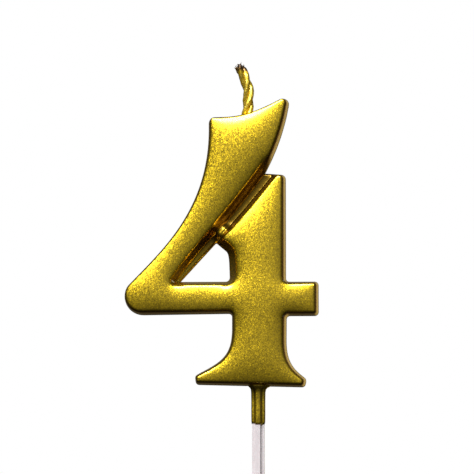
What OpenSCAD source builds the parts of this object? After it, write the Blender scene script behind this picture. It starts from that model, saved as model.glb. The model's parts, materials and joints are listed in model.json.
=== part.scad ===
// Number birthday candle, a "4": a wax numeral in a gold lacquer coat, with a three-strand
// cotton wick and a plastic pick. +Z is up and the face looks along -Y. The origin is on the
// pick's axis, at the underside of the numeral's foot, where the candle meets the cake.

/* [Numeral] */
// Height of the numeral, from the foot's underside to the tip of the diagonal stroke
numeral_h = 70; // [55:1:90]
// Thickness of the numeral at the crown of its puffy faces
numeral_t = 11.8; // [9:0.2:14]
// Thickness of the web that closes the slot between the diagonal stroke and the stem
web_t = 2; // [1.4:0.1:3]

/* [Coat] */
// Thickness of the gold lacquer
coat_t = 0.15; // [0.1:0.01:0.25]
// How far the coat runs down the pick
dip_len = 9.5; // [5:0.5:15]

/* [Wick] */
// Radius of one of the three cotton strands
strand_r = 0.52; // [0.35:0.01:0.6]
// Length in which a strand makes one turn around the wick
lay = 14; // [8:1:20]
// Length of the wick above its bend
tip_len = 6.8; // [4:0.1:12]
// Lean of the wick above its bend, to the left
tip_lean = 20.5; // [0:0.5:40]

/* [Pick] */
// Free length of the pick below the numeral
pick_len = 45; // [30:1:60]
// Width of the pick's cross-shaped section
pick_w = 3; // [2.4:0.1:4]
// Thickness of each rib of the cross
rib_t = 1.1; // [0.8:0.1:1.4]
// Length of the anchor inside the stem
anchor_len = 16; // [10:1:20]
// Width of the anchor's barbs
barb_w = 4.6; // [4:0.1:5]

/* [Hidden] */

k = numeral_h / 70;          // the outline below is drawn for a 70 mm numeral
corner_r = 0.9;              // rounding of the outline's outer corners
fillet_r = 0.8;              // rounding of its inner corners
gap_draft = 1.9 * k;         // how much the slot widens from the web out to the face
web_plate = 0.2;             // the slot's walls start to widen this far above the web
half_t = numeral_t / 2;
web_half = web_t / 2;

// The drafted wall and its rounded edge: [inset from the parting line, share of half the thickness]
EDGE = [[0, 0.05], [0.35, 0.66], [0.6, 0.8], [1.05, 0.88]];
// The puffy face, further in from the edge, in the same terms
PILLOW = [[1.05, 0.88], [2.1, 0.935], [3.5, 0.98], [4.8, 1]];
tuck = 0.03;                 // each pillow step starts this far in from the one below, and above it
face_gap = 0.85 * k;         // extra room that the faces leave around the slot
SADDLE = [[-9.3, 36.9], [-7.9, 38.5]];   // line of the rib that closes the slot's lower end
saddle_r = 1.1;              // half of its width
saddle_h = 2.6;              // half of its height, from the web's middle

wick_gap = 0.08;             // clearance around the wick and at its bend
orbit_r = strand_r * 1.183;  // from the wick's axis to a strand's: just clear of touching
wick_r = orbit_r + strand_r;
BEND = [-2.25 * k, 0, 72.6 * k];
bend_swing = 60;             // the wick leans at most this far from upright
tip_start = -1.2 * wick_r;   // the strands above the bend start this far along, inside its ball
sides = 8;                   // sides of a strand's section
root_rings = 32;             // rings along a strand below the bend
tip_rings = 8;               // and above it
channel_rings = 16;          // rings along the wick's way through the wax
channel_sides = 12;          // sides of that way's section
point_len = 7;               // length of the pick's tapered point
point_r = 0.35;              // radius of its blunt end
point_top_r = 0.55 * pick_w; // radius where the point meets the full cross
socket_gap = 0.05;           // the wax stands off the anchor by this much
socket_drop = 5;             // the socket is cut from this far below the foot
barb_len = 2.2;              // height of a barb
barb_tip_r = pick_w / 2 - 0.2;   // radius of its narrow top
barb_lip = 0.1;              // height of the straight edge of the room around it
barb_z = [4.5, 8.5, 12.5];   // heights of the anchor's barbs

function bezier(a, b, c, d, t) =
    pow(1 - t, 3) * a + 3 * pow(1 - t, 2) * t * b + 3 * (1 - t) * t * t * c + t * t * t * d;
function curve(a, b, c, d, n) = [for (i = [0:n]) bezier(a, b, c, d, i / n)];
function unit(v) = v / norm(v);
// The corner at b, between the ways to a and c, as an arc of radius r
function corner(a, b, c, r, n = 3) =
    let (u = unit(a - b), v = unit(c - b), half = acos(u * v) / 2, turn = 180 - 2 * half)
    let (centre = b + unit(u + v) * r / sin(half))
    let (from = b + u * r / tan(half) - centre, to = b + v * r / tan(half) - centre)
    [for (i = [0:n]) centre + (sin(turn * (1 - i / n)) * from + sin(turn * i / n) * to) / sin(turn)];

// The outline's own corners
BLADE_LEFT = [-12.1, 65.9];
BLADE_TIP = [8.1, 71.6];
NOTCH = [1.7, 51.9];
STEM_TOP = [6.75, 51.5];
BAR_IN_TOP = [6.75, 25.3];
BAR_TOP = [14.7, 25.3];
BAR_LOW = [14.7, 17];
BAR_IN_LOW = [6.9, 17];
FOOT_RIGHT = [11.7, 1.5];
SOLE_RIGHT = [11.4, -0.35];
SOLE_LEFT = [-15.2, 0.3];
FOOT_LEFT = [-15.4, 2.4];
BAR_IN_LEFT = [-6.35, 17.6];
NOSE_LOW = [-28, 17.35];
NOSE_TOP = [-31.3, 25.2];
// Outline at the parting plane, clockwise from the left end of the crossbar
function outline_points() = concat(
    curve(NOSE_LOW, [-32.6, 17.35], [-34.2, 22.8], NOSE_TOP, 7),
    curve(NOSE_TOP, [-23.5, 33.3], [-12.1, 43.3], [-12.1, 63], 7),
    corner([-12.1, 63], BLADE_LEFT, [-8, 66], 1.5),
    curve([-8, 66], [-3.4, 66.1], [0.6, 67.8], [4, 69.5], 4),
    corner([4, 69.5], BLADE_TIP, [7, 66], 1.45, 4),
    curve([7, 66], [5.8, 61], [4.5, 57.4], NOTCH, 4),
    corner(NOTCH, STEM_TOP, BAR_IN_TOP, 1.2),
    corner(STEM_TOP, BAR_IN_TOP, BAR_TOP, fillet_r),
    corner(BAR_IN_TOP, BAR_TOP, BAR_LOW, corner_r),
    corner(BAR_TOP, BAR_LOW, BAR_IN_LOW, corner_r),
    corner(BAR_LOW, BAR_IN_LOW, [6.85, 11], fillet_r),
    curve([6.85, 11], [6.85, 6.5], [8, 4.4], [10.9, 2.2], 5),
    corner([10.9, 2.2], FOOT_RIGHT, SOLE_RIGHT, corner_r, 2),
    corner(FOOT_RIGHT, SOLE_RIGHT, SOLE_LEFT, corner_r, 2),
    corner(SOLE_RIGHT, SOLE_LEFT, FOOT_LEFT, corner_r, 2),
    corner(SOLE_LEFT, FOOT_LEFT, [-14.3, 3.05], 0.7, 2),
    curve([-14.3, 3.05], [-8.7, 5.9], [-6.35, 7.5], [-6.35, 14], 5),
    corner([-6.35, 14], BAR_IN_LEFT, NOSE_LOW, fillet_r));
// Slot and hole together, at the level of the web, with the ledge that runs down the hole's left side
HOLE_RIGHT = [-6.9, 25.4];
function gap_points() = concat(
    curve([2.6, 53.6], [-3.6, 45.1], [-7.2, 41], [-9.7, 38.2], 4),
    curve([-9.7, 38.2], [-13.1, 35], [-16.7, 30.5], [-20.1, 25.4], 3),
    corner([-20.1, 25.4], HOLE_RIGHT, [-7.1, 31], 1),
    [[-7.1, 31], [-7.8, 33.4], [-8.9, 36.8], [-2.4, 44.1], [4.2, 52], [4, 53.6]]);
// The hole alone
function hole_points() = concat(
    [[-19.05, 25.4]],
    corner([-19.05, 25.4], HOLE_RIGHT, [-7.1, 30.8], 1),
    [[-7.1, 30.8], [-7.7, 32.9], [-10.3, 34.9]]);

module outline() { scale(k) polygon(outline_points()); }
module gap() { scale(k) polygon(gap_points()); }
module hole() { scale(k) polygon(hole_points()); }
module face() {
    difference() {
        outline();
        offset(delta = face_gap) gap();
    }
}

// A convex lens: the profile of [radius, height] points runs from its waist to its tip
module lens(profile) {
    below = [for (i = [len(profile) - 1:-1:1]) [profile[i][0], -profile[i][1]]];
    hull() rotate_extrude($fn = 8) polygon(concat(below, profile));
}
// The numeral's slab, with its drafted walls and rounded edges
module slab(skin) {
    last = EDGE[len(EDGE) - 1];
    waist = EDGE[0][1] * half_t;
    minkowski() {
        linear_extrude(2 * (waist - skin), center = true) offset(delta = -last[0] - skin) outline();
        lens([for (e = EDGE) [last[0] - e[0], e[1] * half_t - waist]]);
    }
}
// One step of the puffy face, on both sides of the slab
module pillow_step(i, skin) {
    low = PILLOW[i];
    high = PILLOW[i + 1];
    minkowski() {
        linear_extrude(2 * (low[1] * half_t + tuck - skin), center = true)
            offset(delta = -high[0] - skin) face();
        lens([[high[0] - low[0] - tuck, 0], [0, (high[1] - low[1]) * half_t - tuck]]);
    }
}
// The drafted slot and hole, on one side of the web
module slot_half(skin) {
    translate([0, 0, web_half - skin]) minkowski() {
        linear_extrude(web_plate) offset(delta = skin) gap();
        cylinder(h = half_t, r1 = 0, r2 = gap_draft, $fn = 8);
    }
}
module hole_and_slot(skin) {
    slot_half(skin);
    mirror([0, 0, 1]) slot_half(skin);
    linear_extrude(numeral_t, center = true) offset(delta = skin) hole();
}
// The rib between the slot's walls at its lower end
module saddle(skin) {
    tall = saddle_h - skin;
    wide = saddle_r - skin;
    hull() for (p = k * SADDLE) translate(p) lens([[wide, 0], [0.7 * wide, 0.8 * tall], [0, tall]]);
}
// The numeral's solid, skin below the outside of the coat. It stands up, with its face to -Y.
module numeral(skin) {
    rotate([90, 0, 0]) {
        difference() {
            union() {
                slab(skin);
                for (i = [0:len(PILLOW) - 2]) pillow_step(i, skin);
            }
            hole_and_slot(skin);
        }
        saddle(skin);
    }
}

// Points along the wick's axis, from its lower end inside the wax up to the bend
function root_axis(t) = let (p = bezier([-8.6, 41.2], [-6.4, 51], [-2.6, 61], [-2.25, 72.6], t))
    [p[0] * k, 0, p[1] * k];
function lean_way(a) = [sin(a), 0, cos(a)];
function tip_axis(s) = BEND + s * lean_way(-tip_lean);
// A closed tube through rings of points, one list of points for each ring
function tube_faces(rings, n) = concat(
    [[for (j = [0:n - 1]) j]],
    [for (i = [0:rings - 2], j = [0:n - 1]) let (m = (j + 1) % n)
        [i * n + j, (i + 1) * n + j, (i + 1) * n + m, i * n + m]],
    [[for (j = [n - 1:-1:0]) (rings - 1) * n + j]]);
module tube(rings) {
    n = len(rings[0]);
    polyhedron([for (ring = rings, p = ring) p], tube_faces(len(rings), n), convexity = 6);
}
// A ring of the given radius around a point off the axis, in the plane square to a lean
function ring(centre, lean, r, n, off = 0, turn = 0) = [for (j = [0:n - 1])
    let (a = 360 * j / n, u = off * cos(turn) + r * cos(a), v = off * sin(turn) + r * sin(a))
    centre + u * [cos(lean), 0, -sin(lean)] + v * [0, 1, 0]];
function slope_at(t) = let (d = root_axis(t + 0.01) - root_axis(t - 0.01)) atan2(d[0], d[2]);
function height_turn(z) = 360 * (z - BEND[2]) / lay;

module strand_root(i) {
    color([0.8, 0.66, 0.25]) difference() {
        tube([for (s = [0:root_rings]) let (t = s / root_rings, p = root_axis(t))
            ring(p, slope_at(t), strand_r, sides, orbit_r, height_turn(p[2]) + 120 * i)]);
        translate(BEND) sphere(wick_r + wick_gap, $fn = 32);
        translate(BEND - [0, 0, wick_r * tan(bend_swing / 2) + wick_gap])
            cylinder(h = 2 * wick_r, r = 2 * wick_r);
    }
}
module strand_tip(i) {
    color([0.8, 0.66, 0.25]) intersection() {
        tube([for (s = [0:tip_rings])
            let (d = tip_start + (tip_len - tip_start) * s / tip_rings)
            ring(tip_axis(d), -tip_lean, strand_r, sides, orbit_r, 360 * d / lay + 120 * i)]);
        translate(BEND) rotate([0, -tip_lean, 0]) union() {
            sphere(wick_r, $fn = 32);
            cylinder(h = tip_len + wick_r, r = 2 * wick_r);
        }
    }
}
// The way that the wick takes through the wax and out of its top
module wick_channel() {
    tube([for (s = [0:channel_rings])
        let (t = s / channel_rings, floor_gap = s == 0 ? wick_gap : 0)
        ring(root_axis(t) - [0, 0, floor_gap], slope_at(t), wick_r + wick_gap, channel_sides)]);
}

module cross_section(grow = 0) {
    offset(delta = grow) union() {
        square([pick_w, rib_t], center = true);
        square([rib_t, pick_w], center = true);
    }
}
module barb() { cylinder(h = barb_len, r1 = barb_w / 2, r2 = barb_tip_r, $fn = 48); }
// The room that the wax leaves around a barb
module barb_room() {
    hull() {
        cylinder(h = barb_lip, r = barb_w / 2 + socket_gap, $fn = 24);
        translate([0, 0, barb_len]) cylinder(h = socket_gap, r = barb_tip_r + socket_gap, $fn = 24);
    }
}
module pick() {
    color([0.95, 0.93, 0.94]) union() {
        intersection() {
            translate([0, 0, -pick_len]) linear_extrude(pick_len + anchor_len) cross_section();
            translate([0, 0, -pick_len]) union() {
                cylinder(h = point_len, r1 = point_r, r2 = point_top_r, $fn = 48);
                translate([0, 0, point_len]) cylinder(h = pick_len + anchor_len, r = pick_w, $fn = 48);
            }
        }
        for (z = barb_z) translate([0, 0, z]) barb();
    }
}
module pick_socket() {
    translate([0, 0, -socket_drop]) linear_extrude(socket_drop + anchor_len + socket_gap)
        cross_section(socket_gap);
    for (z = barb_z) translate([0, 0, z]) barb_room();
}

module wax_body() {
    color([0.93, 0.89, 0.78]) union() difference() {
        numeral(coat_t);
        wick_channel();
        pick_socket();
    }
}
module gold_coat() {
    color([0.78, 0.62, 0.16]) union() {
        difference() {
            numeral(0);
            numeral(coat_t);
            wick_channel();
            pick_socket();
        }
        translate([0, 0, -dip_len]) linear_extrude(dip_len) difference() {
            cross_section(coat_t + socket_gap);
            cross_section(socket_gap);
        }
    }
}

wax_body();
gold_coat();
strand_root(0);  // wick_strand_1_root
strand_root(1);  // wick_strand_2_root
strand_root(2);  // wick_strand_3_root
strand_tip(0);  // wick_strand_1_tip
strand_tip(1);  // wick_strand_2_tip
strand_tip(2);  // wick_strand_3_tip
pick();
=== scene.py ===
"""Number birthday candle, a gold "4" on a pick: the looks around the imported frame.

The shape functions work in millimetres, in the plane of the face (x to the right, z up).
"""
import json
import math

import bpy
import numpy as np
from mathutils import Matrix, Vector
from mathutils.geometry import delaunay_2d_cdt


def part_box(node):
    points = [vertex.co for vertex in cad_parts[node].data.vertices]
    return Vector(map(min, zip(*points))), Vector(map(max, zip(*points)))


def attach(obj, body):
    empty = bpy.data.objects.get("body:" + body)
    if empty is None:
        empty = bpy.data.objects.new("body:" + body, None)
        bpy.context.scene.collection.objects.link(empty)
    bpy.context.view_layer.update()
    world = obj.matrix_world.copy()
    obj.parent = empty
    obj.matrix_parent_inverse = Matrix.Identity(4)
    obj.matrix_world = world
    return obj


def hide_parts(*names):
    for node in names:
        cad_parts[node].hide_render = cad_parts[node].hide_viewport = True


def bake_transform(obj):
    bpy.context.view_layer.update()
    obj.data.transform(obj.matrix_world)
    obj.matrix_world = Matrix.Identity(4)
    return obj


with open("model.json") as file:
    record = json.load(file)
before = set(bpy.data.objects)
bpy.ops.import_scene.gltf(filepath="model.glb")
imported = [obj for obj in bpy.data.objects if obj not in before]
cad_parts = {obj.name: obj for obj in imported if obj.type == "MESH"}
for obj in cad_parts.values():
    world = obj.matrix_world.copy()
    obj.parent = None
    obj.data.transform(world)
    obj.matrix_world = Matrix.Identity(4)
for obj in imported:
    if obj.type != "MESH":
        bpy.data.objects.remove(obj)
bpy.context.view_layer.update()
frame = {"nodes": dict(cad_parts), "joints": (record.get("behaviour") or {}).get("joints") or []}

MM = 0.001
rng = np.random.default_rng(4)


# ---------------------------------------------------------------- shapes in the plane

def bezier(a, b, c, d, n):
    t = np.linspace(0, 1, n + 1)[:, None]
    a, b, c, d = (np.array(p, float) for p in (a, b, c, d))
    return (1 - t) ** 3 * a + 3 * (1 - t) ** 2 * t * b + 3 * (1 - t) * t * t * c + t ** 3 * d


def corner(a, b, c, r, n=8):
    """The corner at b, between the ways to a and c, as an arc of radius r."""
    a, b, c = (np.array(p, float) for p in (a, b, c))
    u = (a - b) / np.linalg.norm(a - b)
    v = (c - b) / np.linalg.norm(c - b)
    half = math.acos(u @ v) / 2
    turn = math.pi - 2 * half
    middle = b + (u + v) / np.linalg.norm(u + v) * r / math.sin(half)
    start = b + u * r / math.tan(half) - middle
    end = b + v * r / math.tan(half) - middle
    t = np.linspace(0, 1, n + 1)[:, None]
    return middle + (np.sin(turn * (1 - t)) * start + np.sin(turn * t) * end) / math.sin(turn)


def resample(loop, step):
    """A closed loop with its points evenly spaced."""
    closed = np.vstack([loop, loop[:1]])
    at = np.concatenate([[0], np.cumsum(np.linalg.norm(np.diff(closed, axis=0), axis=1))])
    count = round(at[-1] / step)
    s = np.arange(count) * at[-1] / count
    return np.column_stack([np.interp(s, at, closed[:, i]) for i in (0, 1)])


def inside(points, loop):
    """Whether each point is inside a closed loop."""
    x, y = points[:, 0], points[:, 1]
    hit = np.zeros(len(points), bool)
    for (ax, ay), (bx, by) in zip(loop, np.roll(loop, -1, 0)):
        if ay != by:
            hit ^= ((ay > y) != (by > y)) & (x < (bx - ax) * (y - ay) / (by - ay) + ax)
    return hit


def outward(loop):
    """Unit normals of a closed loop, pointing away from its inside."""
    along = np.roll(loop, -1, 0) - np.roll(loop, 1, 0)
    along /= np.linalg.norm(along, axis=1)[:, None]
    n = np.column_stack([-along[:, 1], along[:, 0]])
    return -n if inside(loop + 0.05 * n, loop).mean() > 0.5 else n


def distance(points, loop):
    """Distance outside a closed loop, below zero inside it, and the index of the nearest segment."""
    a, d = loop, np.roll(loop, -1, 0) - loop
    square = np.maximum((d ** 2).sum(1), 1e-12)
    far, near = np.empty(len(points)), np.empty(len(points), int)
    for i in range(0, len(points), 4000):
        p = points[i:i + 4000, None] - a
        t = np.clip((p * d).sum(2) / square, 0, 1)
        gap = ((p - t[..., None] * d) ** 2).sum(2)
        near[i:i + 4000] = gap.argmin(1)
        far[i:i + 4000] = np.sqrt(gap.min(1))
    return np.where(inside(points, loop), -far, far), near


# ---------------------------------------------------------------- the numeral's outline

NOSE_LOW, NOSE_TOP = (-28, 17.35), (-31.3, 25.2)
BLADE_LEFT, BLADE_TIP = (-12.1, 65.9), (8.1, 71.6)
NOTCH, STEM_TOP = (1.7, 51.9), (6.75, 51.5)
BAR_IN_TOP, BAR_TOP, BAR_LOW, BAR_IN_LOW = (6.75, 25.3), (14.7, 25.3), (14.7, 17), (6.9, 17)
FOOT_RIGHT, SOLE_RIGHT, SOLE_LEFT, FOOT_LEFT = (11.7, 1.5), (11.4, -0.35), (-15.2, 0.3), (-15.4, 2.4)
BAR_IN_LEFT = (-6.35, 17.6)
CORNER_R, FILLET_R = 0.9, 0.8
OUTLINE = np.vstack([
    bezier(NOSE_LOW, (-32.6, 17.35), (-34.2, 22.8), NOSE_TOP, 24),
    bezier(NOSE_TOP, (-23.5, 33.3), (-12.1, 43.3), (-12.1, 63), 48)[1:],
    corner((-12.1, 63), BLADE_LEFT, (-8, 66), 1.5),
    bezier((-8, 66), (-3.4, 66.1), (0.6, 67.8), (4, 69.5), 20),
    corner((4, 69.5), BLADE_TIP, (7, 66), 1.45),
    bezier((7, 66), (5.8, 61), (4.5, 57.4), NOTCH, 24),
    corner(NOTCH, STEM_TOP, BAR_IN_TOP, 1.2),
    corner(STEM_TOP, BAR_IN_TOP, BAR_TOP, FILLET_R),
    corner(BAR_IN_TOP, BAR_TOP, BAR_LOW, CORNER_R),
    corner(BAR_TOP, BAR_LOW, BAR_IN_LOW, CORNER_R),
    corner(BAR_LOW, BAR_IN_LOW, (6.85, 11), FILLET_R),
    bezier((6.85, 11), (6.85, 6.5), (8, 4.4), (10.9, 2.2), 16),
    corner((10.9, 2.2), FOOT_RIGHT, SOLE_RIGHT, CORNER_R),
    corner(FOOT_RIGHT, SOLE_RIGHT, SOLE_LEFT, CORNER_R),
    corner(SOLE_RIGHT, SOLE_LEFT, FOOT_LEFT, CORNER_R),
    corner(SOLE_LEFT, FOOT_LEFT, (-14.3, 3.05), 0.7),
    bezier((-14.3, 3.05), (-8.7, 5.9), (-6.35, 7.5), (-6.35, 14), 20),
    corner((-6.35, 14), BAR_IN_LEFT, NOSE_LOW, FILLET_R),
])
HOLE_LEFT, HOLE_RIGHT, HOLE_TOP = (-19.05, 25.4), (-6.9, 25.4), (-10.3, 34.9)
HOLE = np.vstack([
    [HOLE_LEFT],
    corner(HOLE_LEFT, HOLE_RIGHT, (-7.1, 30.8), 1),
    bezier((-7.05, 29.5), (-7.15, 31.5), (-7.3, 32.4), (-7.9, 32.9), 10),
    [HOLE_TOP],
])
# The sunk floor of the slot between the diagonal stroke and the stem, which goes on as a ledge down
# the hole's left side; at the top it runs out over the notch
SLOT = np.vstack([
    bezier((3.6, 54.6), (-2.1, 46.4), (-6.3, 41.8), (-9.3, 38), 24),
    bezier((-9.3, 38), (-12.9, 34.9), (-16.6, 30.4), (-20.1, 25.3), 24)[1:],
    [(-18, 25.7), (-10.6, 33.8), (-9.4, 35.2), (-8.5, 37.1), (-2.4, 44.1), (3.8, 51.6), (4.2, 53.4)],
])
STEP = 0.36
EDGE_LOOP, HOLE_LOOP, SLOT_LOOP = resample(OUTLINE, STEP), resample(HOLE, STEP), resample(SLOT, STEP)


# ---------------------------------------------------------------- the puffy faces

HALF_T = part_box("gold_coat")[1].y / MM
FACE_H = 4.55         # half thickness where the faces start to puff up
WEB_H = 1.0           # half thickness of the web
RIM_SLOPE = 9.0       # the outer walls' rise for each millimetre inwards
RIM_ROUND = 3.0       # how much of that rise is rounded over into the face
WALL_ROUND = 0.7      # the same for the slot and the hole
PUFF = 0.55           # how round the faces are blown
SADDLE = np.array([(-9.2, 37.0), (-8.3, 38.1)])
SADDLE_R, SADDLE_H = 1.7, 2.4
RIDGE_H = 0.06        # fine ridge along the foot of the slot's walls
RIDGE_OUT, RIDGE_W = -0.12, 0.14   # its place and width, measured from the foot
WELL_H = 0.5          # half thickness at the hole's edge
SEAM = 0.08           # half height of the parting line's flash
RIM_START = 0.2       # the rim's rounding comes in over this distance


def wall_run(loop, usual, ways):
    """How far out from each point of a loop its wall reaches the face: usual, or as ways say for
    the points that look that way."""
    n = outward(loop)
    run = np.full(len(loop), float(usual))
    for way, there in ways:
        share = np.clip(n @ (np.array(way) / np.linalg.norm(way)), 0, 1) ** 3
        run += share * (there - usual)
    for _ in range(8):
        run = (np.roll(run, 1) + run + np.roll(run, -1)) / 3
    return run


HOLE_RUN = wall_run(HOLE_LOOP, 1.9, [((-0.73, 0.68), 1.2), ((0, -1), 0.95)])
SLOT_RUN = wall_run(SLOT_LOOP, 1.5, [((-0.76, 0.65), 1.65), ((0.76, -0.65), 1.15)])
SLOT_RUN *= np.interp(SLOT_LOOP[:, 1], (34, 39), (0.64, 1))     # steeper beside the ledge


def soft_min(a, b, k):
    h = np.clip(0.5 + 0.5 * (b - a) / k, 0, 1)
    return b + (a - b) * h - k * h * (1 - h)


class Pillow:
    """A sheet blown up over the faces: it solves Poisson's equation between their edges."""

    def __init__(self, step):
        lo, hi = OUTLINE.min(0) - 1, OUTLINE.max(0) + 1
        self.lo, self.step = lo, step
        nx, nz = np.ceil((hi - lo) / step).astype(int) + 1
        xs, zs = lo[0] + step * np.arange(nx), lo[1] + step * np.arange(nz)
        grid = np.stack(np.meshgrid(xs, zs, indexing="ij"), -1).reshape(-1, 2)
        out = -distance(grid, EDGE_LOOP)[0]
        slot, near_slot = distance(grid, SLOT_LOOP)
        hole, near_hole = distance(grid, HOLE_LOOP)
        room = np.minimum(out - 0.35, np.minimum(
            slot - SLOT_RUN[near_slot] + 0.1, hole - HOLE_RUN[near_hole] + 0.1))
        self.u = self.solve(np.clip(0.5 + room / step, 0, 1).reshape(nx, nz), step)
        self.top = self.u.max()

    @staticmethod
    def solve(share, step):
        wall = (1 - share) * 50 / step ** 2

        def apply(u):
            p = np.pad(u, 1)
            around = p[2:, 1:-1] + p[:-2, 1:-1] + p[1:-1, 2:] + p[1:-1, :-2]
            return (4 * u - around) / step ** 2 + wall * u

        u = np.zeros_like(share)
        r = share - apply(u)
        p, rr = r.copy(), (r * r).sum()
        for _ in range(1200):
            ap = apply(p)
            a = rr / (p * ap).sum()
            u += a * p
            r -= a * ap
            new = (r * r).sum()
            if new < 1e-8:
                break
            p = r + new / rr * p
            rr = new
        return np.maximum(u, 0)

    def at(self, points):
        f = (points - self.lo) / self.step
        i = np.clip(np.floor(f).astype(int), 0, np.array(self.u.shape) - 2)
        t = f - i
        x, z = i[:, 0], i[:, 1]
        low = self.u[x, z] * (1 - t[:, 0]) + self.u[x + 1, z] * t[:, 0]
        high = self.u[x, z + 1] * (1 - t[:, 0]) + self.u[x + 1, z + 1] * t[:, 0]
        return (low * (1 - t[:, 1]) + high * t[:, 1]) / self.top


PILLOW = Pillow(0.22)


def height(points, out=None):
    """Half thickness of the numeral at each point of the plane; out is how far in from the outline."""
    out = -distance(points, EDGE_LOOP)[0] if out is None else out
    slot, near_slot = distance(points, SLOT_LOOP)
    hole, near_hole = distance(points, HOLE_LOOP)
    face = FACE_H + (HALF_T - FACE_H) * PILLOW.at(points) ** PUFF
    d = SADDLE[1] - SADDLE[0]
    t = np.clip((points - SADDLE[0]) @ d / (d @ d), 0, 1)
    off = np.linalg.norm(points - SADDLE[0] - t[:, None] * d, axis=1) / SADDLE_R
    floor = WEB_H + (SADDLE_H - WEB_H) * np.exp(-1.6 * off ** 2)
    floor = floor + RIDGE_H * np.exp(-((slot - RIDGE_OUT) / RIDGE_W) ** 2)
    wall = floor + (face - floor) * np.maximum(slot, 0) / SLOT_RUN[near_slot]
    well = WELL_H + (face - WELL_H) * np.maximum(hole, 0) / HOLE_RUN[near_hole]
    h = soft_min(soft_min(face, wall, WALL_ROUND), well, WALL_ROUND)
    rim = SEAM + RIM_SLOPE * np.maximum(out, 0)
    return soft_min(h, rim, RIM_ROUND * np.clip(out / RIM_START, 0.02, 1))


def spread(first, rest, least):
    """The points of rest that are at least that far from first and from each other."""
    cells, kept = {}, []
    for i, p in enumerate(np.vstack([first, rest])):
        cx, cz = int(p[0] // least), int(p[1] // least)
        close = any(
            (q[0] - p[0]) ** 2 + (q[1] - p[1]) ** 2 < least ** 2
            for x in (cx - 1, cx, cx + 1) for z in (cz - 1, cz, cz + 1) for q in cells.get((x, z), ())
        )
        if i < len(first) or not close:
            cells.setdefault((cx, cz), []).append(p)
            if i >= len(first):
                kept.append(p)
    return np.array(kept)


# ---------------------------------------------------------------- meshes

def mesh_object(name, verts, faces, smooth=True):
    """A mesh from vertices in millimetres."""
    mesh = bpy.data.meshes.new(name)
    mesh.from_pydata((np.asarray(verts) * MM).tolist(), [], [list(map(int, f)) for f in faces])
    mesh.validate()
    mesh.polygons.foreach_set("use_smooth", [smooth] * len(mesh.polygons))
    obj = bpy.data.objects.new(name, mesh)
    bpy.context.scene.collection.objects.link(obj)
    return obj


def strip(a, b, n, closed=True):
    """Quads between two rings of n vertices that start at indices a and b."""
    return [(a + i, a + (i + 1) % n, b + (i + 1) % n, b + i) for i in range(n if closed else n - 1)]


# How far in each ring of the outer wall stands; the first is the flash along the parting line
RIM = (-0.06, 0.0, 0.03, 0.07, 0.12, 0.18, 0.25)
WELL = (0.0, 0.03, 0.12)
# More rings of points that follow the edges where the shape bends, measured outwards for the slot
# and the hole, inwards for the outline
EDGE_ROWS = (0.34, 0.44, 0.56, 0.72, 0.95, 1.25)
SLOT_ROWS = (-0.25, -0.05, 0.05, 0.25, 0.5, 0.8, 1.1, 1.35, 1.6, 1.9)
HOLE_ROWS = (0.3, 0.6, 0.95, 1.3, 1.6, 1.9, 2.2, 2.5, 2.8, 3.1)
# The painted shade line along the bend between the faces and the outer walls ends this far in, and fades
# over this distance
BEND_IN, BEND_FADE = 0.85, 0.28


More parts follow.
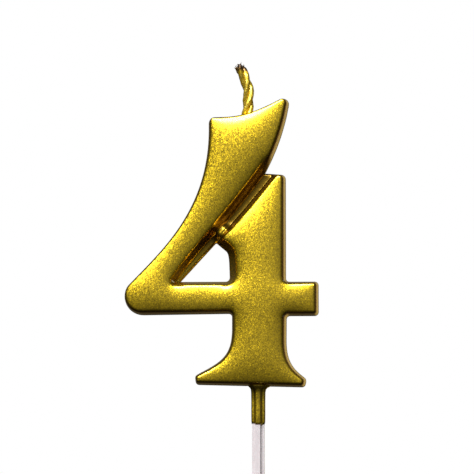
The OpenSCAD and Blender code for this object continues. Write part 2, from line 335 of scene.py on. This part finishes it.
def numeral(name, skin=0.0):
    """The whole numeral, front and back, as one closed mesh, skin below the outside of the coat."""
    edge_in, hole_out, slot_out = -outward(EDGE_LOOP), outward(HOLE_LOOP), outward(SLOT_LOOP)
    rim_top, well_top = EDGE_LOOP + (RIM[-1] + skin) * edge_in, HOLE_LOOP + (WELL[-1] + skin) * hole_out
    grain = STEP * (1.3 if skin == 0 else 3)
    lo, hi = OUTLINE.min(0), OUTLINE.max(0)
    rows = []
    for i, z in enumerate(np.arange(lo[1], hi[1], grain * 0.866)):
        x = np.arange(lo[0] + (i % 2) * grain / 2, hi[0], grain)
        rows.append(np.column_stack([x, np.full_like(x, z)]))
    fill = [EDGE_LOOP + d * edge_in for d in EDGE_ROWS]
    fill += [SLOT_LOOP + d * slot_out for d in SLOT_ROWS]
    fill += [HOLE_LOOP + d * hole_out for d in HOLE_ROWS]
    fill = np.vstack(fill + rows)
    keep = (-distance(fill, EDGE_LOOP)[0] > RIM[-1] + skin + 0.06)
    keep &= distance(fill, HOLE_LOOP)[0] > WELL[-1] + skin + 0.1
    first = np.vstack([rim_top, well_top])
    flat = np.vstack([first, spread(first, fill[keep], STEP * 0.3)])
    n, m = len(rim_top), len(well_top)
    edges = [(i, (i + 1) % n) for i in range(n)] + [(n + i, n + (i + 1) % m) for i in range(m)]
    verts, _, faces, origin, *_ = delaunay_2d_cdt([Vector(p) for p in flat], edges, [], 0, 1e-6)
    verts, faces = np.array([tuple(v) for v in verts]), np.array(faces)
    middle = verts[faces].mean(1)
    faces = faces[inside(middle, rim_top) & ~inside(middle, well_top)]
    index = {source: i for i, sources in enumerate(origin) for source in sources}
    depth = height(verts) - skin * 1.6
    solid = [np.column_stack([verts[:, 0], -depth, verts[:, 1]])]
    faces = [tuple(f) for f in faces]
    count = len(verts)

    def add(points, y):
        nonlocal count
        solid.append(np.column_stack([points[:, 0], -np.broadcast_to(y, len(points)), points[:, 1]]))
        count += len(points)
        return list(range(count - len(points), count))

    def join(a, b, turn):
        for i in range(len(a)):
            j = (i + 1) % len(a)
            quad = (a[i], a[j], b[j], b[i])
            faces.append(quad[::-1] if turn else quad)

    clockwise = (np.cross(EDGE_LOOP, np.roll(EDGE_LOOP, -1, 0))).sum() < 0
    ring = [index[i] for i in range(n)]
    for d in RIM[-2::-1]:
        loop = EDGE_LOOP + (d + skin) * edge_in
        y = 0 if d < 0 else SEAM if d == 0 else height(loop, np.full(n, d))
        after = add(loop, y)
        join(ring, after, not clockwise)
        ring = after
    clockwise = (np.cross(HOLE_LOOP, np.roll(HOLE_LOOP, -1, 0))).sum() < 0
    ring = [index[n + i] for i in range(m)]
    for d in WELL[-2::-1]:
        loop = HOLE_LOOP + d * hole_out
        after = add(loop + skin * hole_out, height(loop) - skin)
        join(ring, after, clockwise)
        ring = after
    join(ring, add(HOLE_LOOP + skin * hole_out, 0), clockwise)
    front = np.vstack(solid)
    on_seam = np.abs(front[:, 1]) < 1e-9
    back = np.cumsum(~on_seam) - 1 + len(front)
    partner = np.where(on_seam, np.arange(len(front)), back)
    mirrored = front[~on_seam] * (1, -1, 1)
    faces += [tuple(partner[list(f)][::-1]) for f in faces]
    made = mesh_object(name, np.vstack([front, mirrored]), faces)
    # How near each point is to the bend between the faces and the outer walls, which masks the painted
    # shade line along the edges
    near = np.clip((BEND_IN + distance(front[:, [0, 2]], EDGE_LOOP)[0]) / BEND_FADE, 0, 1)
    near = np.concatenate([near, near[~on_seam]])
    made.data.attributes.new("bend", "FLOAT", "POINT").data.foreach_set("value", near)
    return made


def cross_loop(half, rib, r, n=5):
    """The pick's cross-shaped section, its corners rounded."""
    quarter = [(half, -rib), (half, rib), (rib, rib)]
    points = []
    for k in range(4):
        c, s = (1, 0, -1, 0)[k], (0, 1, 0, -1)[k]
        points += [(x * c - y * s, x * s + y * c) for x, y in quarter]
    loop = [corner(points[i - 1], points[i], points[(i + 1) % 12], r, n) for i in range(12)]
    return np.vstack(loop)


def tube(rings):
    """Vertices and faces of a closed tube through rings of points, with flat ends."""
    n = len(rings[0])
    faces = [tuple(range(n))[::-1], tuple(range((len(rings) - 1) * n, len(rings) * n))]
    for i in range(len(rings) - 1):
        faces += strip(i * n, (i + 1) * n, n)
    return np.vstack(rings), faces


# The pick's half width and half rib thickness, and the sleeve's rings as (height, thickness)
PICK_HALF, RIB_HALF = 1.5, 0.55
SLEEVE = ((0.4, 0.9), (-0.2, 0.85), (-0.5, 0.5), (-0.9, 0.32), (-1.6, 0.24), (-4, 0.2), (-7, 0.2),
          (-8.8, 0.18), (-9.3, 0.1))


def sleeve():
    """The coat on the top of the pick: it flares into the foot and thins out at its lower edge."""
    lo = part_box("gold_coat")[0].z / MM
    around = np.arctan2(*cross_loop(PICK_HALF, RIB_HALF, 0.2).T[::-1])
    wave = 0.22 * np.sin(around * 2 + 0.6) + 0.12 * np.sin(around * 5 + 2)

    def ring(loop, z):
        """A ring at height z, more uneven the lower it is."""
        low = wave * np.clip((-z - 5) / 4, 0, 1) * 0.7
        return np.column_stack([loop, z + low])

    rings = []
    for z, thick in SLEEVE:
        right = np.clip(np.cos(around), 0, 1) ** 4 * max(0, thick - 0.24) * 0.9
        loop = cross_loop(PICK_HALF + thick, RIB_HALF + thick, min(0.2 + thick, 0.5))
        way = loop / np.linalg.norm(loop, axis=1)[:, None]
        rings.append(ring(loop + way * right[:, None], z))
    inner = cross_loop(PICK_HALF + 0.02, RIB_HALF + 0.02, 0.15)
    rings += [ring(inner, lo + 0.35), ring(inner, SLEEVE[0][0])]
    n = len(inner)
    verts = np.vstack(rings)
    faces = []
    for i in range(len(rings)):
        faces += [f[::-1] for f in strip(i * n, (i + 1) % len(rings) * n, n)]
    return mesh_object("gold_sleeve", verts, faces)


# ---------------------------------------------------------------- the wick

BEND = np.array(frame["joints"][0]["pos_m"]) / MM
LAY = 14.0                    # length of one turn of the strands around the wick's axis
PLY_R, ORBIT_R = 0.70, 0.69   # a strand's radius, and how far its middle is from that axis
ENDS = (0.0, 0.25, -0.5)      # how far each strand goes past the end of the axis
RING_SIDES = 28
HAIRS = 9                     # loose fibres at each strand's end


def wick_axis():
    """Points along the wick, from inside the wax to its tip, with the distance along it."""
    low = bezier((-8.6, 41.2), (-6.4, 51), (-2.6, 61), BEND[[0, 2]], 120)
    low = low[low[:, 1] < 70.2]
    high = bezier(low[-1], (-2.12, 73.1), (-2.9, 75.1), (-4.72, 78.75), 60)
    points = np.vstack([low, high[1:]])
    s = np.concatenate([[0], np.cumsum(np.linalg.norm(np.diff(points, axis=0), axis=1))])
    return points, s


AXIS, AXIS_S = wick_axis()


def wick_frame(s):
    """Centre and unit direction of the wick's axis at each distance s along it."""
    centre = np.column_stack([np.interp(s, AXIS_S, AXIS[:, i]) for i in (0, 1)])
    ahead = np.column_stack([np.interp(s + 0.3, AXIS_S, AXIS[:, i]) for i in (0, 1)])
    behind = np.column_stack([np.interp(s - 0.3, AXIS_S, AXIS[:, i]) for i in (0, 1)])
    way = ahead - behind
    return centre, way / np.linalg.norm(way, axis=1)[:, None]


def ply(i, end):
    """One of the three strands, with ridges of fibres along it and a frayed end."""
    bend_s = np.interp(BEND[2], AXIS[:, 1], AXIS_S)
    s = np.arange(0, AXIS_S[-1] + end, 0.2)
    centre, way = wick_frame(np.minimum(s, AXIS_S[-1] - 0.31))
    centre = centre + np.maximum(s - AXIS_S[-1] + 0.31, 0)[:, None] * way
    side = np.column_stack([way[:, 1], -way[:, 0]])
    turn = 2 * math.pi * ((s - bend_s) / LAY + i / 3)
    a = np.linspace(0, 2 * math.pi, RING_SIDES, endpoint=False)
    rings = []
    for j in range(len(s)):
        left = s[-1] - s[j]
        fade = min(1, 0.55 + left * 0.5)
        twist = 9 * a + s[j] * 4.2
        ridge = 1 + 0.05 * np.sin(twist) + 0.03 * np.sin(5 * a - s[j] * 2.7 + i)
        ridge *= 1 + 0.03 * math.sin(s[j] * 3.1 + 2 * i)
        u = ORBIT_R * math.cos(turn[j]) + PLY_R * fade * ridge * np.cos(a)
        v = ORBIT_R * math.sin(turn[j]) + PLY_R * fade * ridge * np.sin(a)
        x = centre[j, 0] + u * side[j, 0]
        z = centre[j, 1] + u * side[j, 1]
        rings.append(np.column_stack([x, v, z]))
    verts, faces = tube(rings)
    faces = [f[::-1] for f in faces]
    tip = rings[-1].mean(0)
    along = np.array([way[-1, 0], 0, way[-1, 1]])
    parts = [verts]
    for _ in range(HAIRS):
        out = rng.normal(0, 1, 3) * (1, 1, 0.35)
        out -= (out @ along) * along
        out /= max(np.linalg.norm(out), 1e-6)
        length = rng.uniform(0.3, 0.75)
        start = tip + out * rng.uniform(0.1, 0.4) - along * 0.4
        lean = rng.uniform(0.1, 0.9)
        curve = [start + length * (1.2 * t * along + lean * t * t * out) for t in np.linspace(0, 1, 5)]
        b = np.cross(along, out)
        hairs = []
        for q, p in enumerate(curve):
            r = 0.16 * (1 - 0.18 * q)
            c = np.linspace(0, 2 * math.pi, 6, endpoint=False)
            hairs.append(p + r * (np.cos(c)[:, None] * out + np.sin(c)[:, None] * b))
        hv, hf = tube(hairs)
        shift = sum(len(p) for p in parts)
        parts.append(hv)
        faces += [tuple(v + shift for v in f)[::-1] for f in hf]
    return mesh_object(f"wick_ply_{i + 1}", np.vstack(parts), faces)


# ---------------------------------------------------------------- materials

class Nodes:
    """A short way to write a node tree."""

    def __init__(self, tree):
        self.tree = tree
        tree.nodes.clear()

    def add(self, kind, settings=None, **inputs):
        node = self.tree.nodes.new(kind)
        for name, value in (settings or {}).items():
            setattr(node, name, value)
        for name, value in inputs.items():
            key = int(name[1:]) if name[0] == "_" else name.replace("_", " ")
            if isinstance(value, bpy.types.NodeSocket):
                self.tree.links.new(value, node.inputs[key])
            else:
                node.inputs[key].default_value = value
        return node

    def math(self, operation, a, b=0.0, c=0.0):
        return self.add("ShaderNodeMath", {"operation": operation}, _0=a, _1=b, _2=c).outputs[0]

    def smooth(self, value, low, high, to_low, to_high):
        return self.add("ShaderNodeMapRange", {"interpolation_type": "SMOOTHSTEP"}, Value=value,
                        From_Min=low, From_Max=high, To_Min=to_low, To_Max=to_high).outputs[0]

    def ramp(self, value, stops):
        node = self.add("ShaderNodeValToRGB", Fac=value)
        ramp = node.color_ramp
        while len(ramp.elements) < len(stops):
            ramp.elements.new(0.5)
        for element, (at, colour) in zip(ramp.elements, stops):
            element.position = at
            element.color = (*colour, 1)
        return node.outputs[0]


def material(name):
    made = bpy.data.materials.new(name)
    made.use_nodes = True
    return made, Nodes(made.node_tree)


GOLD = (0.58, 0.40, 0.012)
PAINTED_SHADE_COLOUR = (0.115, 0.054, 0.009)                  # painted shade colour: the slot, the hole's walls and the line along the outer edges
SADDLE_SHINE = (-0.0086, 0, 0.0377)           # middle of the spot on the slot's saddle left brighter by halving the painted shade, in metres
FLAKES_PER_M = 5200.0
FLAKE_TILT = 0.08


def gold_lacquer():
    """Metallic lacquer: fine flakes that each catch the light their own way, under a clear skin."""
    made, t = material("gold_lacquer")
    place = t.add("ShaderNodeTexCoord").outputs["Object"]
    flakes = t.add("ShaderNodeTexVoronoi", Vector=place, Scale=FLAKES_PER_M)
    parts = t.add("ShaderNodeSeparateXYZ", _0=flakes.outputs["Color"])
    broad = t.add("ShaderNodeTexNoise", Vector=place, Scale=900.0, Detail=3.0).outputs[0]
    tone = t.smooth(parts.outputs[0], 0, 1, -0.14, 0.12)
    tone = t.math("ADD", tone, t.smooth(broad, 0.3, 0.7, -0.02, 0.02))
    tone = t.math("ADD", tone, t.smooth(parts.outputs[1], 0.86, 0.97, 0.0, 0.4))
    shade = t.ramp(t.math("ADD", tone, 0.5), [
        (0.0, tuple(c * 0.25 for c in GOLD)), (0.5, GOLD), (1.0, tuple(min(1, c * 1.7) for c in GOLD))])
    normal = t.add("ShaderNodeNewGeometry").outputs["Normal"]
    # Painted shade: the lacquer's colour is darkened down in the slot and on the hole's sloping walls,
    # where shade falls; its coat and flakes are toned down there too
    deep = t.math("ABSOLUTE", t.add("ShaderNodeSeparateXYZ", _0=place).outputs[1])
    faces = t.math("ABSOLUTE", t.add("ShaderNodeSeparateXYZ", _0=normal).outputs[1])
    painted_shade = t.smooth(deep, 0.0040, 0.0048, 1.0, 0.0)
    painted_shade = t.math("MULTIPLY", painted_shade, t.smooth(faces, 0.14, 0.3, 0.0, 1.0))
    up = t.add("ShaderNodeSeparateXYZ", _0=place).outputs[2]
    # Painted shade strength: weak low down beside the ledge, a little weaker on the deepest floor, halved
    # on the saddle's spot
    shade_strength = t.math("ADD", t.smooth(up, 0.026, 0.036, 0.1, 0.85), t.smooth(deep, 0.002, 0.0035, -0.04, 0.0))
    saddle = t.add("ShaderNodeVectorMath", {"operation": "MULTIPLY"}, _0=place, _1=(1, 0, 1)).outputs[0]
    saddle = t.add("ShaderNodeVectorMath", {"operation": "DISTANCE"}, _0=saddle,
                   _1=SADDLE_SHINE).outputs["Value"]
    shade_strength = t.math("MULTIPLY", shade_strength, t.smooth(saddle, 0.0006, 0.0014, 0.5, 1.0))
    # A thin line of painted shade also runs along the sharp bend between the faces and the outer walls
    bend = t.add("ShaderNodeAttribute", {"attribute_name": "bend"}).outputs["Fac"]
    bend = t.math("MULTIPLY", t.smooth(deep, 0.0029, 0.0035, 0.0, 0.85), bend)
    painted_shade = t.math("MAXIMUM", t.math("MULTIPLY", painted_shade, shade_strength), bend)
    # The painted shade colour is mixed into the lacquer's colour by that mask
    shade = t.add("ShaderNodeMix", {"data_type": "RGBA"}, _0=painted_shade, _6=shade, _7=(*PAINTED_SHADE_COLOUR, 1)).outputs[2]
    tilt = t.add("ShaderNodeVectorMath", {"operation": "MULTIPLY_ADD"},
                 _0=flakes.outputs["Color"], _1=(2 * FLAKE_TILT,) * 3, _2=(-FLAKE_TILT,) * 3).outputs[0]
    tilt = t.add("ShaderNodeVectorMath", {"operation": "SCALE"}, _0=tilt,
                 Scale=t.smooth(painted_shade, 0, 0.5, 1.0, 0.0)).outputs[0]
    tilted = t.add("ShaderNodeVectorMath", {"operation": "ADD"}, _0=normal, _1=tilt).outputs[0]
    tilted = t.add("ShaderNodeVectorMath", {"operation": "NORMALIZE"}, _0=tilted).outputs[0]
    shader = t.add("ShaderNodeBsdfPrincipled", Base_Color=shade, Metallic=0.97, Roughness=0.33,
                   Specular_Tint=(0.6, 0.4, 0.1, 1), Normal=tilted, Coat_Roughness=0.17,
                   Coat_Weight=t.smooth(painted_shade, 0, 0.6, 0.9, 0.25))
    t.add("ShaderNodeOutputMaterial", Surface=shader.outputs[0])
    return made


def wax():
    made, t = material("wax")
    place = t.add("ShaderNodeTexCoord").outputs["Object"]
    grain = t.add("ShaderNodeTexNoise", Vector=place, Scale=700.0).outputs[0]
    shade = t.ramp(grain, [(0.3, (0.72, 0.66, 0.5)), (0.7, (0.84, 0.79, 0.64))])
    shader = t.add("ShaderNodeBsdfPrincipled", Base_Color=shade, Roughness=0.45, Subsurface_Weight=0.2)
    shader.inputs["Subsurface Radius"].default_value = (0.002, 0.0015, 0.001)
    t.add("ShaderNodeOutputMaterial", Surface=shader.outputs[0])
    return made


def wick_cotton():
    """Cotton dipped in the same lacquer, scorched-looking where the dry end frays."""
    made, t = material("wick_cotton")
    place = t.add("ShaderNodeTexCoord").outputs["Object"]
    height_up = t.add("ShaderNodeSeparateXYZ", _0=place).outputs[2]
    fibres = t.add("ShaderNodeTexNoise", Vector=place, Scale=2600.0, Detail=4.0).outputs[0]
    tip = t.smooth(height_up, 0.0762, 0.0786, 0.0, 0.8)
    tone = t.math("SUBTRACT", t.smooth(fibres, 0.25, 0.75, 0.55, 1.0), tip)
    shade = t.ramp(tone, [(0.0, (0.035, 0.016, 0.004)), (0.35, (0.2, 0.11, 0.014)), (0.7, GOLD),
                          (1.0, (0.8, 0.62, 0.12))])
    bump = t.add("ShaderNodeBump", Height=fibres, Strength=0.6, Distance=0.00012).outputs[0]
    shader = t.add("ShaderNodeBsdfPrincipled", Base_Color=shade, Metallic=0.8, Roughness=0.4, Normal=bump,
                   Coat_Weight=0.2, Coat_Roughness=0.2)
    t.add("ShaderNodeOutputMaterial", Surface=shader.outputs[0])
    return made


def pick_plastic():
    """Milky, slightly pink plastic that lets light through."""
    made, t = material("pick_plastic")
    place = t.add("ShaderNodeTexCoord").outputs["Object"]
    grain = t.add("ShaderNodeTexNoise", Vector=place, Scale=400.0).outputs[0]
    shade = t.ramp(grain, [(0.3, (0.46, 0.42, 0.428)), (0.7, (0.5, 0.46, 0.468))])
    shader = t.add("ShaderNodeBsdfPrincipled", Base_Color=shade, Roughness=0.3, Subsurface_Weight=0.5)
    shader.inputs["Subsurface Radius"].default_value = (0.003, 0.0025, 0.0025)
    t.add("ShaderNodeOutputMaterial", Surface=shader.outputs[0])
    return made


def floor_white():
    made, t = material("floor_white")
    shader = t.add("ShaderNodeBsdfDiffuse", Color=(0.85, 0.85, 0.85, 1))
    t.add("ShaderNodeOutputMaterial", Surface=shader.outputs[0])
    return made


MATERIALS = {f.__name__: f() for f in (gold_lacquer, wax, wick_cotton, pick_plastic, floor_white)}


def paint(obj, name):
    obj.data.materials.clear()
    obj.data.materials.append(MATERIALS[name])


# ---------------------------------------------------------------- the object

paint(frame["nodes"]["pick"], "pick_plastic")

core = numeral("wax_core", 0.15)
paint(core, "wax")
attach(core, "candle")
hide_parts("wax_body")

gold = numeral("gold_numeral")
paint(gold, "gold_lacquer")
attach(gold, "candle")
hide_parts("gold_coat")

coat = sleeve()
paint(coat, "gold_lacquer")
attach(coat, "candle")
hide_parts("gold_coat")

for i, end in enumerate(ENDS):
    strand = ply(i, end)
    paint(strand, "wick_cotton")
    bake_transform(strand)
    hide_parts(f"wick_strand_{i + 1}_root", f"wick_strand_{i + 1}_tip")


# ---------------------------------------------------------------- studio

def disc(name, radius, z):
    a = np.linspace(0, 2 * math.pi, 64, endpoint=False)
    verts = np.column_stack([radius * np.cos(a), radius * np.sin(a), np.full(64, z)])
    return mesh_object(name, verts, [tuple(range(64))])


floor = disc("floor", 90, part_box("pick")[0].z / MM - 0.05)
paint(floor, "floor_white")
floor.visible_glossy = floor.visible_diffuse = False


def studio_world():
    """White behind the candle. What the lacquer reflects is a bright box overhead to the left, a dim
    room in front, dark sides and a warm glow behind to the right."""
    world = bpy.data.worlds.new("studio")
    bpy.context.scene.world = world
    world.use_nodes = True
    t = Nodes(world.node_tree)
    way = t.add("ShaderNodeTexCoord").outputs["Generated"]
    x, y, z = t.add("ShaderNodeSeparateXYZ", _0=way).outputs

    def box(direction, low, high, power):
        d = np.array(direction) / np.linalg.norm(direction)
        dot = t.add("ShaderNodeVectorMath", {"operation": "DOT_PRODUCT"}, _0=way, _1=tuple(d))
        return t.smooth(dot.outputs["Value"], low, high, 0.0, power)

    front = t.smooth(y, -0.98, -0.5, 0.27, 0.08)
    behind = t.smooth(y, 0.84, 0.95, 0.0, 0.8)
    behind = t.math("MULTIPLY", behind, t.smooth(x, -0.05, 0.25, 0.1, 1.0))
    down = t.math("MULTIPLY", t.smooth(z, -0.3, 0.4, 0.3, 1.5), t.smooth(x, -0.6, 0.0, 0.5, 1.0))
    room = t.math("MULTIPLY", front, down)
    light = t.math("ADD", room, box((-0.3, -0.64, 0.71), 0.80, 0.93, 0.45))
    light = t.math("ADD", light, box((-0.2, -0.65, 0.73), 0.925, 0.96, 21.0))
    dim = t.add("ShaderNodeAddShader",
                _0=t.add("ShaderNodeBackground", Color=(1, 1, 1, 1), Strength=light).outputs[0],
                _1=t.add("ShaderNodeBackground", Color=(1, 0.79, 0.24, 1), Strength=behind).outputs[0])
    white = t.add("ShaderNodeBackground", Color=(1, 1, 1, 1), Strength=1.0)
    seen = t.add("ShaderNodeLightPath").outputs["Is Camera Ray"]
    mixed = t.add("ShaderNodeMixShader", _0=seen, _1=dim.outputs[0], _2=white.outputs[0])
    t.add("ShaderNodeOutputWorld", Surface=mixed.outputs[0])


studio_world()
bpy.context.scene.view_settings.view_transform = "Standard"

# A long lens a little to the right and below, as in a catalogue picture
AIM = Vector((-5.2, 0, 36.4)) * MM
FAR, ACROSS = 0.6, 0.11604
AZIMUTH, ELEVATION = math.radians(4), math.radians(-5)
lens = bpy.data.cameras.new("camera")
lens.sensor_width = 36
lens.lens = 36 * FAR / ACROSS
lens.clip_start, lens.clip_end = 0.01, 10
camera = bpy.data.objects.new("camera", lens)
bpy.context.scene.collection.objects.link(camera)
back = Vector((math.sin(AZIMUTH) * math.cos(ELEVATION), -math.cos(AZIMUTH) * math.cos(ELEVATION),
               math.sin(ELEVATION)))
camera.location = AIM + back * FAR
camera.rotation_mode = "QUATERNION"
camera.rotation_quaternion = (-back).to_track_quat("-Z", "Y")
bpy.context.scene.camera = camera
